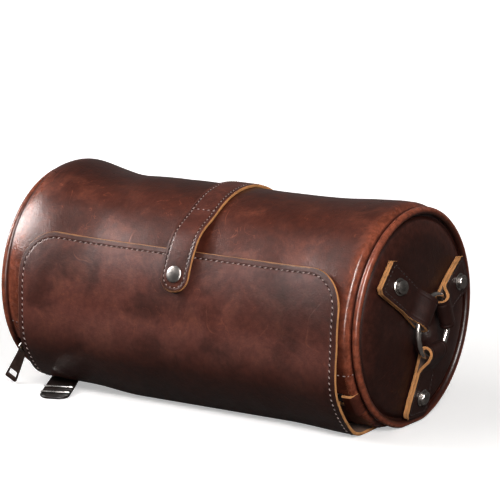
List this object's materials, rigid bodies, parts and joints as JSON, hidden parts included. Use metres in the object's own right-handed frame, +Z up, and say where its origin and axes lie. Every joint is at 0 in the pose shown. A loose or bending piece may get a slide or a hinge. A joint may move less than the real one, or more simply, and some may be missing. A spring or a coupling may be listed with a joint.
{
  "type": "toiletry bag",
  "caption": "Barrel-shaped leather toiletry bag with a zip under a front flap, a snap strap over the flap and a ring held by riveted tabs on each round end.",
  "frame": {"origin": "under the middle of the flat base panel, on the surface that the bag rests on, below the barrel's axis", "axes": "+X along the barrel to the right-hand end, -Y to the front flap, +Z up"},
  "size_m": [0.3172, 0.1572, 0.148],
  "materials": {
    "leather_body": "oiled pull-up, satin",
    "leather_flap": "oiled pull-up, satin",
    "lining_fabric": "woven",
    "stiff_board": "matte",
    "dark_metal": "dark gunmetal plating"
  },
  "bodies": {
    "shell": {"body_wrap": "leather_body", "end_disc_right": "leather_body", "end_disc_left": "leather_body", "piping_right": "leather_body", "piping_left": "leather_body", "strap_top": "leather_body", "zip_end_cover": "leather_body", "grip_tab": "leather_body", "ring_tab_right_1": "leather_body", "ring_tab_right_2": "leather_body", "ring_tab_right_3": "leather_body", "ring_tab_left_1": "leather_body", "ring_tab_left_2": "leather_body", "ring_tab_left_3": "leather_body", "flap_bend": "leather_flap", "base_panel": "leather_flap", "lining_tube": "lining_fabric", "end_lining_right": "lining_fabric", "end_lining_left": "lining_fabric", "zip_tape_lower": "lining_fabric", "end_board_right": "stiff_board", "end_board_left": "stiff_board", "zip_teeth_lower": "dark_metal", "zip_stop": "dark_metal", "grip_bar_1": "dark_metal", "grip_bar_2": "dark_metal", "rivet_right_1": "dark_metal", "rivet_right_2": "dark_metal", "rivet_right_3": "dark_metal", "rivet_left_1": "dark_metal", "rivet_left_2": "dark_metal", "rivet_left_3": "dark_metal"},
    "flap": {"front_flap": "leather_flap", "snap_stud": "dark_metal"},
    "strap": {"strap_tab": "leather_body", "snap_cap": "dark_metal", "snap_socket": "dark_metal"},
    "lip": {"zip_lip": "leather_body", "zip_tape_upper": "lining_fabric", "zip_teeth_upper": "dark_metal"},
    "slider": {"zip_slider": "dark_metal"},
    "puller": {"zip_puller": "dark_metal"},
    "ring_r": {"ring_right": "dark_metal"},
    "ring_l": {"ring_left": "dark_metal"}
  },
  "joints": [
    {"name": "flap_swing", "type": "hinge", "parent": "shell", "child": "flap", "pos_m": [0, -0.04975, 0.0132], "axis": [1, 0, 0], "range_deg": [0, 50], "deforming": ["flap_bend"]},
    {"name": "strap_swing", "type": "hinge", "parent": "shell", "child": "strap", "pos_m": [0, -0.04032, 0.13609], "axis": [-1, 0, 0], "range_deg": [0, 154.5]},
    {"name": "lip_swing", "type": "hinge", "parent": "shell", "child": "lip", "pos_m": [0, -0.07202, 0.04893], "axis": [-1, 0, 0], "range_deg": [0, 50.5]},
    {"name": "zip_slide", "type": "slide", "parent": "shell", "child": "slider", "axis": [1, 0, 0], "range_m": [0, 0.246]},
    {"name": "puller_swing", "type": "hinge", "parent": "slider", "child": "puller", "pos_m": [-0.1335, -0.05842, 0.02603], "axis": [0, 1, 0], "range_deg": [-70, 30]},
    {"name": "ring_right_turn", "type": "hinge", "parent": "shell", "child": "ring_r", "pos_m": [0.15266, 0, 0.0685], "axis": [1, 0, 0], "continuous": true},
    {"name": "ring_left_turn", "type": "hinge", "parent": "shell", "child": "ring_l", "pos_m": [-0.15266, 0, 0.0685], "axis": [1, 0, 0], "continuous": true}
  ],
  "couplings": [
    {"joint": "strap_swing", "follows": "flap_swing", "ratio": 3.08},
    {"joint": "lip_swing", "follows": "flap_swing", "ratio": 1}
  ]
}
